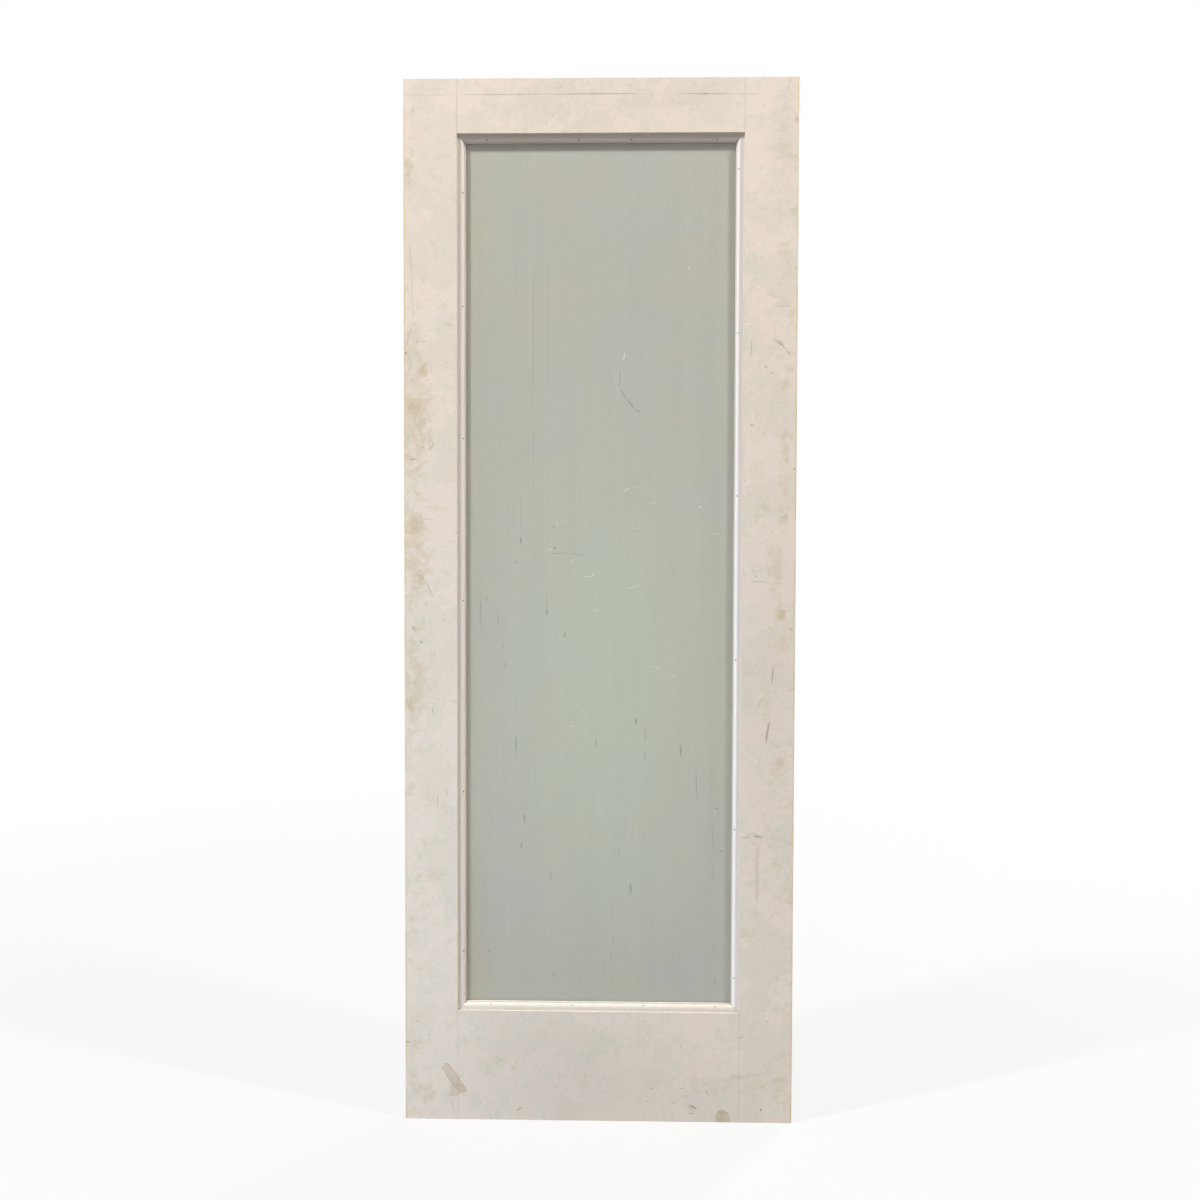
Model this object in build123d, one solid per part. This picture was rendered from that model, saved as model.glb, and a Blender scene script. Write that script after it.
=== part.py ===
from build123d import *
import os

# Interior door leaf with one tall pane of satin glass, unhung and with no ironmongery.
# Two full-height stiles and two rails, each a solid timber core between thin moulded skins,
# stand round the pane, which is bedded on tape between mitred ovolo stops on both sides.
#
# Frame, in millimetres: X runs from the hinge edge (0) to the lock edge, Y from the front
# to the back with the middle of the leaf's thickness at 0, and Z up from the foot (0).

inch = 25.4

# Leaf
leaf_width = 30 * inch
leaf_height = 80 * inch
leaf_thickness = 35.0
stile_face = 104.0          # from the leaf's edge to the opening
top_rail_face = 104.0
bottom_rail_face = 218.0
skin_thickness = 3.0
edge_band_width = 12.0      # solid lipping down each long edge, between the skins
outer_ease = 1.0            # radius on the long outer corners
inner_ease = 0.3            # hair-fine chamfer where skins meet and round the opening

# Pane
pane_thickness = 4.0
pane_edge_gap = 2.5         # left at both sides and at the top, since the pane stands on the rail
pane_arris = 0.5

# Stops, seen in section from the stile inwards: a flat, a quarter-round ovolo and a lip
stop_reveal = 5.0           # how far the stop lies below the leaf's face
stop_flat = 6.5
ovolo_radius = 6.0
lip_width = 3.0
stop_arris = 0.4            # the stop's sharp corners are taken off by this much
mitre_gap = 0.4

# Glazing tape under each stop
tape_thickness = 1.0
tape_width = 9.0
tape_setback = 1.5          # the tape stays this far behind the lip

# Worked out from the sizes above
opening_x = (stile_face, leaf_width - stile_face)
opening_z = (bottom_rail_face, leaf_height - top_rail_face)
opening_width = opening_x[1] - opening_x[0]
opening_height = opening_z[1] - opening_z[0]
opening_middle = Vector(sum(opening_x) / 2, 0, sum(opening_z) / 2)
half_leaf = leaf_thickness / 2
half_core = half_leaf - skin_thickness
half_pane = pane_thickness / 2
stop_width = stop_flat + ovolo_radius + lip_width
stop_seat = half_pane + tape_thickness
stop_top = half_leaf - stop_reveal

front, back = -1, 1         # the two faces, as signs along Y
members = {
    "left_stile": ((0, opening_x[0]), (0, leaf_height)),
    "right_stile": ((opening_x[1], leaf_width), (0, leaf_height)),
    "top_rail": (opening_x, (opening_z[1], leaf_height)),
    "bottom_rail": (opening_x, (0, opening_z[0])),
}


def block(x, y, z):
    """A box between the low and high values given along each axis."""
    low = Vector(x[0], y[0], z[0])
    high = Vector(x[1], y[1], z[1])
    size = high - low
    return Pos(*((low + high) * 0.5)) * Box(size.X, size.Y, size.Z)


def edges_at(solid, along, **place):
    """The edges parallel to an axis whose middle has the given coordinates."""
    found = solid.edges().filter_by(along)
    for name, value in place.items():
        found = found.filter_by(lambda e: abs(getattr(e.center(), name) - value) < 1e-3)
    return found


def core(name):
    """The timber behind a member's skins. A stile's stops short of its edge band."""
    x, z = members[name]
    if name == "left_stile":
        x = (x[0] + edge_band_width, x[1])
    if name == "right_stile":
        x = (x[0], x[1] - edge_band_width)
    return block(x, (-half_core, half_core), z)


def edge_band(outer_x, inward):
    """The lipping on a stile's long edge, flush with the skins' edges."""
    x = sorted((outer_x, outer_x + inward * edge_band_width))
    return block(x, (-half_core, half_core), (0, leaf_height))


def skin(name, face):
    """One moulded face skin, with its outer corner rounded and its inner edges eased."""
    x, z = members[name]
    y = sorted((face * half_core, face * half_leaf))
    solid = block(x, y, z)
    surface_y = face * half_leaf
    if name.endswith("stile"):
        outer_x, inner_x = x if name == "left_stile" else reversed(x)
        solid = fillet(edges_at(solid, Axis.Z, X=outer_x, Y=surface_y), outer_ease)
        return chamfer(edges_at(solid, Axis.Z, X=inner_x, Y=surface_y), inner_ease)
    lite_z = z[0] if name == "top_rail" else z[1]
    eased = edges_at(solid, Axis.X, Z=lite_z, Y=surface_y)
    for end_x in x:
        eased += edges_at(solid, Axis.Z, X=end_x, Y=surface_y)
    return chamfer(eased, inner_ease)


def pane():
    """The glass, standing on the bottom rail with all its edges seamed."""
    x = (opening_x[0] + pane_edge_gap, opening_x[1] - pane_edge_gap)
    z = (opening_z[0], opening_z[1] - pane_edge_gap)
    solid = block(x, (-half_pane, half_pane), z)
    return chamfer(solid.edges(), pane_arris)


def side_frame(side, face):
    """A frame at the middle of one side of the opening: X along the side, Y into the
    opening, Z out of that face of the leaf, from the middle of the leaf's thickness."""
    into = {
        "bottom": Vector(0, 0, 1),
        "top": Vector(0, 0, -1),
        "left": Vector(1, 0, 0),
        "right": Vector(-1, 0, 0),
    }[side]
    outwards = Vector(0, face, 0)
    reach = opening_height / 2 if side in ("bottom", "top") else opening_width / 2
    return Plane(opening_middle - into * reach, x_dir=into.cross(outwards), z_dir=outwards)


def side_length(side):
    return opening_width if side in ("bottom", "top") else opening_height


def stop_section():
    """The stop's moulded section, with Y into the opening and Z out of the leaf."""
    lip_top = stop_top - ovolo_radius
    with BuildSketch(Plane.YZ) as section:
        with BuildLine():
            Polyline(
                (stop_flat, stop_top),
                (stop_arris, stop_top),
                (0, stop_top - stop_arris),
                (0, stop_seat),
                (stop_width, stop_seat),
                (stop_width, lip_top - stop_arris),
                (stop_width - stop_arris, lip_top),
                (stop_flat + ovolo_radius, lip_top),
            )
            CenterArc((stop_flat, lip_top), ovolo_radius, 0, 90)
        make_face()
    return section.sketch


def stop(side, face):
    """One glazing stop, mitred at both ends."""
    half = side_length(side) / 2
    bar = extrude(stop_section(), amount=half, both=True)
    trim = half - mitre_gap / 2 * 2**0.5
    for end in (-1, 1):
        mitre = Plane((end * trim, 0, 0), z_dir=(-end, -1, 0))
        bar = split(bar, bisect_by=mitre, keep=Keep.TOP)
    return side_frame(side, face).location * bar


def tape(side, face):
    """One strip of glazing tape. The upright strips run past the level ones."""
    inner = stop_width - tape_setback
    outer = inner - tape_width
    trimmed = inner if side in ("bottom", "top") else outer
    half = side_length(side) / 2 - trimmed
    strip = block((-half, half), (outer, inner), (half_pane, stop_seat))
    return side_frame(side, face).location * strip


def build():
    """Every piece of the leaf, by the name of its node."""
    pieces = {f"{name}_core": core(name) for name in members}
    pieces["left_stile_edge_band"] = edge_band(0, 1)
    pieces["right_stile_edge_band"] = edge_band(leaf_width, -1)
    pieces["glass_pane"] = pane()
    for face_name, face in (("front", front), ("back", back)):
        for name in members:
            pieces[f"{name}_{face_name}_skin"] = skin(name, face)
        for side in ("top", "bottom", "left", "right"):
            pieces[f"{face_name}_stop_{side}"] = stop(side, face)
            pieces[f"{face_name}_tape_{side}"] = tape(side, face)
    return pieces


os.makedirs("parts", exist_ok=True)
for node, solid in build().items():
    export_step(solid, f"parts/{node}.step")
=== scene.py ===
import bmesh
import bpy
import math
import random
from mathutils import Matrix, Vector


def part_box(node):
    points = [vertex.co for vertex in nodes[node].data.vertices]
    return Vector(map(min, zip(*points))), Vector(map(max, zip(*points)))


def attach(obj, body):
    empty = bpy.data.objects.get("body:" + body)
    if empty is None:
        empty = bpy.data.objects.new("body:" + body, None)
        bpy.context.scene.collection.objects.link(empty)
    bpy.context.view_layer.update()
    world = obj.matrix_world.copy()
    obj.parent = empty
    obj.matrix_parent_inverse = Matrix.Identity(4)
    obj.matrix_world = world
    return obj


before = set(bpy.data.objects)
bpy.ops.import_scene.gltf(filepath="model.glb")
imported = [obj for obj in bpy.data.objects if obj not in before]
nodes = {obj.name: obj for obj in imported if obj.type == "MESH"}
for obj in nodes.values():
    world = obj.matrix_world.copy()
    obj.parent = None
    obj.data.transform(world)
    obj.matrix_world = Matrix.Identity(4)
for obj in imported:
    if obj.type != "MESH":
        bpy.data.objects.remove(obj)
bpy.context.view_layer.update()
# Every size and place below is in millimetres, but for the studio's and the camera's, in metres
leafWidth, leafHeight = 762, 2032
opening = {"left": 104, "right": 658, "bottom": 218, "top": 1928}
skinSeat = 14.5             # the skins lie this far and more from the middle of the thickness
stopWidth = 15.5            # from the opening's side to the stop's lip
endFace = 0.3               # whatever is this close to the leaf's top or foot is its sawn end
print("loaded", len(nodes), "pieces of the door leaf")


def linear(hexColour):
    parts = [int(hexColour[i:i + 2], 16) / 255 for i in (1, 3, 5)]
    return [p / 12.92 if p <= 0.04045 else ((p + 0.055) / 1.055) ** 2.4 for p in parts] + [1]


# Inputs go by name, or by number where several share a name. A value may be a node,
# whose first output is taken, or a socket, or a plain value.
def addNode(tree, kind, inputs=None, **settings):
    node = tree.nodes.new("ShaderNode" + kind)
    for name, value in settings.items():
        setattr(node, name, value)
    sockets = [s for s in node.inputs if s.enabled]
    for key, value in (inputs or {}).items():
        socket = sockets[key] if isinstance(key, int) else next(s for s in sockets if s.name == key)
        if isinstance(value, bpy.types.Node):
            value = next(s for s in value.outputs if s.enabled)
        if isinstance(value, bpy.types.NodeSocket):
            tree.links.new(value, socket)
        else:
            socket.default_value = value
    return node


def startMaterial(name):
    material = bpy.data.materials.new(name)
    material.use_nodes = True
    material.node_tree.nodes.clear()
    return material, material.node_tree


def finishMaterial(material, shader):
    addNode(material.node_tree, "OutputMaterial", {"Surface": shader})
    return material


# The place on the door in millimetres, from the foot of the hinge edge
def placeOnDoor(tree):
    metres = addNode(tree, "TexCoord").outputs["Object"]
    return addNode(tree, "VectorMath", {"Vector": metres, "Scale": 1000}, operation="SCALE")


# The same place pushed about by up to the given amount, so that edges drawn with it wander
def wander(tree, point, size, amount):
    push = addNode(tree, "TexNoise", {"Vector": point, "Scale": 1 / size, "Detail": 3}, normalize=False)
    return addNode(tree, "VectorMath", {0: push.outputs["Color"], 1: [amount] * 3, 2: point},
                   operation="MULTIPLY_ADD")


# How far a coordinate is from a target, either way
def farFrom(tree, value, target):
    difference = addNode(tree, "Math", {0: value, 1: target}, operation="SUBTRACT")
    return addNode(tree, "Math", {0: difference}, operation="ABSOLUTE")


# A line from (x0, z0) to (x1, z1) as a long thin mark
def lineMark(x0, z0, x1, z1, halfWidth, strength):
    length = math.hypot(x1 - x0, z1 - z0)
    tilt = math.degrees(math.atan2(z1 - z0, x1 - x0))
    return (x0 + x1) / 2, (z0 + z1) / 2, length / 2 + halfWidth, halfWidth, tilt, strength


# All the marks together: each has its middle x and z, half width, half height, tilt in
# degrees and strength, and fades out over the outer share of its radius
def markMask(tree, point, marks, fadeShare):
    total = 0.0
    for x, z, halfWidth, halfHeight, tilt, strength in marks:
        inside = addNode(tree, "Mapping", {
            "Vector": point,
            "Location": (x, 0, z),
            "Rotation": (0, -math.radians(tilt), 0),
            "Scale": (halfWidth, 1000, halfHeight),
        }, vector_type="TEXTURE")
        cone = addNode(tree, "TexGradient", {"Vector": inside}, gradient_type="SPHERICAL")
        level = addNode(tree, "MapRange", {
            "Value": cone.outputs["Fac"], "From Max": fadeShare, "To Max": strength,
        }, interpolation_type="SMOOTHSTEP")
        total = addNode(tree, "Math", {0: total, 1: level}, operation="MAXIMUM")
    return total


# A firm-edged patch between convex corners, listed with the inside on the left, and darker
# within the given rim
def patchMask(tree, point, corners, strength, rim):
    inside = 100.0          # deeper than any patch, before its sides close in
    for (x0, z0), (x1, z1) in zip(corners, corners[1:] + corners[:1]):
        inwards = Vector((z0 - z1, 0, x1 - x0)).normalized()
        along = addNode(tree, "VectorMath", {0: point, 1: inwards}, operation="DOT_PRODUCT")
        side = inwards.dot(Vector((x0, 0, z0)))
        depth = addNode(tree, "Math", {0: along.outputs["Value"], 1: side}, operation="SUBTRACT")
        inside = addNode(tree, "Math", {0: inside, 1: depth}, operation="MINIMUM")
    filled = addNode(tree, "MapRange", {"Value": inside, "From Max": 1, "To Max": strength})
    dried = addNode(tree, "MapRange", {
        "Value": inside, "From Min": rim, "From Max": rim * 0.4, "To Min": 1, "To Max": 2})
    return addNode(tree, "Math", {0: filled, 1: dried}, operation="MULTIPLY")


# How far a surface faces up: 1 where it is level, 0 where it is upright, less where it hangs
def facingUp(tree):
    normal = addNode(tree, "NewGeometry").outputs["Normal"]
    return addNode(tree, "SeparateXYZ", {"Vector": normal}).outputs["Z"]


settledDust = {"colour": "#A0947F", "patchSize": 16, "thin": 0.55, "thick": 0.95, "lowDown": 0.5}


# Dust on level surfaces: thick on the top of the leaf and thin on the ledge under the pane
def dustOnTop(tree, point, colour):
    level = addNode(tree, "MapRange", {"Value": facingUp(tree), "From Min": 0.6, "From Max": 0.9})
    patches = addNode(tree, "TexNoise", {
        "Vector": point, "Scale": 1 / settledDust["patchSize"], "Detail": 5, "Roughness": 0.65})
    share = addNode(tree, "MapRange", {
        "Value": patches, "From Min": 0.35, "From Max": 0.6,
        "To Min": settledDust["thin"], "To Max": settledDust["thick"]})
    height = addNode(tree, "SeparateXYZ", {"Vector": point}).outputs["Z"]
    unwiped = addNode(tree, "MapRange", {
        "Value": height, "From Min": opening["top"], "From Max": leafHeight,
        "To Min": settledDust["lowDown"]})
    for limit in (level, unwiped):
        share = addNode(tree, "Math", {0: limit, 1: share}, operation="MULTIPLY")
    dust = linear(settledDust["colour"])
    return addNode(tree, "Mix", {0: share, 1: colour, 2: dust}, data_type="RGBA")


# 1 on the top and the foot of the leaf
def sawnEnd(tree, height):
    return addNode(tree, "Math", {
        0: farFrom(tree, height, leafHeight / 2), 1: leafHeight / 2 - endFace}, operation="GREATER_THAN")


# Keeps the marks that touch a piece
def marksOn(piece, marks):
    low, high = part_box(piece)
    kept = []
    for mark in marks:
        x, z, reach = mark[0], mark[1], max(mark[2], mark[3]) + 4     # 4 for the wander
        if low[0] * 1000 - reach < x < high[0] * 1000 + reach:
            if low[2] * 1000 - reach < z < high[2] * 1000 + reach:
                kept.append(mark)
    return kept


def dress(names, material):
    for name in names:
        for slot in nodes[name].material_slots:
            slot.material = material


# What shows on the front, in the form that markMask reads: hand grime, brown rubs where something leant,
# dulled areas that are partly painted shade, dried splashes, and scratches
frontMarks = {
    "grime": [
        (84, 1564, 13, 12, 0, 0.35), (76, 1530, 3.5, 8, 0, 0.3), (50, 1554, 4, 10, 0, 0.25),
        (21, 1562, 6, 10, 0, 0.25), (36, 1474, 14, 22, 0, 0.38), (52, 1478, 3, 22, 0, 0.42),
        (47, 1456, 9, 5, 0, 0.5), (13, 1441, 12, 10, 0, 0.35), (48, 1385, 10, 8, 0, 0.25),
        (13, 1353, 14, 9, 0, 0.3), (36, 1325, 11, 10, 0, 0.45), (54, 1328, 4, 14, 0, 0.45),
        (25, 1279, 22, 35, 0, 0.3), (48, 1236, 10, 12, 0, 0.3), (32, 1144, 16, 20, 0, 0.25),
        (49, 1018, 2.5, 8, 0, 0.5), (53, 928, 5, 6, 0, 0.4), (58, 910, 6, 4, 0, 0.45),
        (35, 880, 8, 12, 0, 0.35), (14, 868, 12, 12, 0, 0.4), (14, 820, 13, 12, 0, 0.6),
        (29, 814, 6, 7, 0, 0.45), (728, 1526, 20, 12, -40, 0.35), (740, 1188, 13, 6, 5, 0.35),
        (725, 1090, 30, 90, 0, 0.25), (734, 1006, 12, 26, 10, 0.42), (749, 1778, 8, 12, 30, 0.4),
        (753, 1953, 8, 7, 0, 0.45), (736, 1275, 10, 16, 0, 0.25), (726, 700, 26, 60, 0, 0.2),
        (700, 830, 24, 50, 0, 0.18), (690, 1290, 26, 60, 0, 0.15), (738, 1330, 16, 110, 0, 0.25),
        (626, 12, 13, 14, 0, 0.5), (736, 501, 5, 3.5, 30, 0.5), (731, 492, 3, 4, 0, 0.4),
        (25, 1390, 40, 190, 0, 0.32), (22, 1120, 40, 150, 0, 0.32), (20, 850, 38, 140, 0, 0.3),
        (10, 1870, 16, 60, 0, 0.2), (14, 1975, 9, 14, 0, 0.3), (86, 1968, 4, 8, 0, 0.3),
        (45, 1935, 6, 12, -20, 0.25),
        (190, 115, 60, 34, 0, 0.22), (40, 60, 40, 40, 0, 0.25), (600, 60, 50, 30, 0, 0.12),
        (742, 90, 20, 80, 0, 0.12), (735, 1905, 22, 50, 0, 0.2), (150, 1985, 40, 16, 0, 0.15),
    ],
    "rubs": [
        (17, 976, 12, 6, -25, 0.45), (35, 944, 7, 5, 0, 0.6), (665, 92, 62, 6, 11, 0.2),
        lineMark(659, 570, 701, 567, 2.6, 0.5), lineMark(688, 544, 686, 470, 1.2, 0.3),
        lineMark(90, 44, 94, 14, 3, 0.25), (561, 30, 14, 7, -20, 0.3), (553, 50, 8, 4, 0, 0.25),
    ],
    # broad darker areas: dust and feet dulled the foot, and the rest is painted shade where less light
    # falls on the right stile and along the top
    "dullingAndShade": [
        (340, 70, 400, 260, 0, 0.28), (380, 2000, 420, 130, 0, 0.12), (735, 1930, 50, 160, 0, 0.15),
        (715, 800, 110, 560, 0, 0.1),
    ],
    # splashes that dried with a rim: corners, strength and width of the rim
    "splashes": [
        ([(72, 103), (92, 69), (108, 52), (123, 57), (88, 110), (79, 112)], 0.4, 2.5),
        ([(91, 73), (88, 46), (98, 45), (123, 55), (113, 71)], 0.3, 2),
        ([(612, -1), (640, -1), (641, 10), (638, 18), (632, 24), (625, 26), (618, 23), (613, 16)],
         0.45, 2),
        ([(687.5, 440), (695, 440), (695.5, 546), (688, 546)], 0.18, 3),
    ],
    "scratches": [
        lineMark(12, 1718, 16.5, 1655, 2.4, 0.11), lineMark(16, 1665, 18.5, 1568, 2.4, 0.12),
        lineMark(30, 1602, 100, 1632, 1.2, 0.08),
        lineMark(12, 1302, 24, 1302, 1.4, 0.7), lineMark(23, 1082, 43, 1064, 0.9, 0.5),
        lineMark(43, 1064, 58, 1033, 0.9, 0.5), lineMark(19, 1569, 1, 1509, 1.6, 0.25),
        lineMark(12, 1530, 55, 1530, 0.7, 0.35), lineMark(65, 647, 65, 621, 0.9, 0.5),
        lineMark(83, 660, 83, 639, 0.9, 0.4), lineMark(55, 818, 55, 806, 1, 0.5),
        lineMark(38, 1185, 60, 1186, 0.7, 0.3), lineMark(0, 154, 9, 153, 1.4, 0.8),
        (77, 988, 1.6, 1.6, 0, 0.5), (89, 985, 1.5, 1.5, 0, 0.5), (105, 984, 1.5, 1.5, 0, 0.5),
        (102, 1159, 1.6, 1.6, 0, 0.5), (22, 195, 1.5, 1.5, 0, 0.5), (47, 169, 1.5, 1.5, 0, 0.5),
        (205, 198, 1.5, 1.5, 0, 0.4), (149, 33, 1.5, 1.5, 0, 0.5), (702, 26, 3, 3, 0, 0.7),
        lineMark(219, 17, 232, 25, 1.4, 0.6), lineMark(614, 18, 638, 20, 0.9, 0.4),
        lineMark(657, 169, 669, 171, 0.9, 0.5),
        lineMark(561, 35, 577, 25, 1.8, 0.5), lineMark(558, 17, 572, 17, 1.3, 0.4),
        lineMark(593, 66, 597, 54, 1.1, 0.5), lineMark(543, 66, 551, 66, 1, 0.5),
        lineMark(482, 63, 492, 67, 1, 0.5), lineMark(529, 37, 535, 37, 1, 0.4),
        (567, 61, 1.5, 1.5, 0, 0.5), (478, 40, 1.5, 1.5, 0, 0.5), (427, 92, 1.4, 1.4, 0, 0.4),
        (219, 61, 1.4, 1.4, 0, 0.4), (309, 53, 1.4, 1.4, 0, 0.4), (380, 56, 1.4, 1.4, 0, 0.4),
        (710, 116, 1.4, 1.4, 0, 0.4), lineMark(682, 568.5, 702, 566.5, 1.8, 0.6),
        lineMark(672, 1066, 712, 1066, 0.8, 0.4), (685, 1076, 2, 2, 0, 0.4),
        lineMark(720, 903, 717, 866, 2, 0.45), lineMark(713, 796, 706, 751, 2.4, 0.55),
        lineMark(722, 1532, 741, 1513, 1.5, 0.4), lineMark(741, 1513, 748, 1503, 1.8, 0.5),
        lineMark(673, 1537, 673, 1495, 1, 0.35), (701, 1480, 3, 2, 0, 0.35),
        (712, 1468, 2.5, 2, 0, 0.35), (675, 1368, 3, 4, 0, 0.35),
        lineMark(720, 1598, 754, 1596, 1, 0.3), (662, 1567, 2, 2, 0, 0.35),
        lineMark(750, 976, 757, 971, 1.2, 0.6), (758, 1284, 3, 2, 0, 0.5), (4, 1508, 3, 2, 0, 0.5),
        lineMark(4, 2000.5, 110, 2001.6, 0.7, 0.25), lineMark(90, 2001.5, 310, 2001.9, 0.9, 0.45),
        lineMark(260, 2001.9, 475, 2002.2, 1, 0.6), lineMark(518, 2001.6, 650, 2000.4, 0.9, 0.6),
        lineMark(640, 2000.4, 690, 1999.7, 0.8, 0.35), (583, 2001, 5, 1.4, 0, 0.7),
    ],
}

# The back has marks of the same kinds in places of its own
backMarks = {
    "seed": 11, "counts": {"grime": 34, "rubs": 7, "scratches": 60},
    "dullingAndShade": (381, 60, 480, 260, 0, 0.3),
}


def scatterMarks():
    pick = random.Random(backMarks["seed"])
    marks = {"grime": [], "rubs": [], "scratches": [], "splashes": [], "dullingAndShade": [backMarks["dullingAndShade"]]}
    for kind, count in backMarks["counts"].items():
        while len(marks[kind]) < count:
            x, z = pick.uniform(4, leafWidth - 4), pick.uniform(4, leafHeight - 4)
            overPane = opening["left"] < x < opening["right"] and opening["bottom"] < z < opening["top"]
            nearHand = 750 < z < 1600
            if overPane or (kind == "grime" and not nearHand and pick.random() < 0.7):
                continue
            if kind == "grime":
                mark = (x, z, pick.uniform(4, 15), pick.uniform(5, 22),
                        pick.uniform(-30, 30), pick.uniform(0.2, 0.45))
            elif kind == "rubs":
                mark = (x, z, pick.uniform(4, 14), pick.uniform(4, 9),
                        pick.uniform(-60, 60), pick.uniform(0.25, 0.45))
            else:
                turn, reach = pick.uniform(0, math.pi), pick.uniform(1, 12)
                mark = lineMark(x, z, x + reach * math.cos(turn), z + reach * math.sin(turn),
                                pick.uniform(0.7, 1.4), pick.uniform(0.3, 0.6))
            marks[kind].append(mark)
    return marks


primedMdfLook = {
    "primer": "#EFE6DB", "pinkPrimer": "#F1E4DA", "greyPrimer": "#DFDACD",
    "washSize": 130, "patchSize": 36, "filmSize": 9, "filmTone": 0.045,
    "grime": "#C8B98F", "grimeSize": 26, "heldShare": 0.62, "edgeReach": 80, "edgeShare": 0.06,
    # the scale of the strokes that run across and of those that run up, and their shares
    "strokes": [((1 / 24, 0, 1 / 4), 0.12), ((1 / 5, 0, 1 / 36), 0.2)],
    # the dulled colour also paints shade in broad areas where less light falls
    "dullingAndShade": "#BDB6B0", "rub": "#B3A189", "splash": "#C2AC8F",
    "scratch": "#7F7464", "jointDirt": 0.22, "speckEvery": 17, "speckSize": 1.5, "speckShare": 0.4,
    # the warm colour on the long outer corners is painted warm light on the rounding
    "warmLitCorner": "#E3CFA6", "warmLitCornerSize": 60, "rawFibre": "#A68B6C", "nickSize": 9, "overspraySize": 14,
    "roughness": 0.5, "peelSize": 3, "peelDepth": 0.02, "scratchDepth": 0.08,
}
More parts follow.
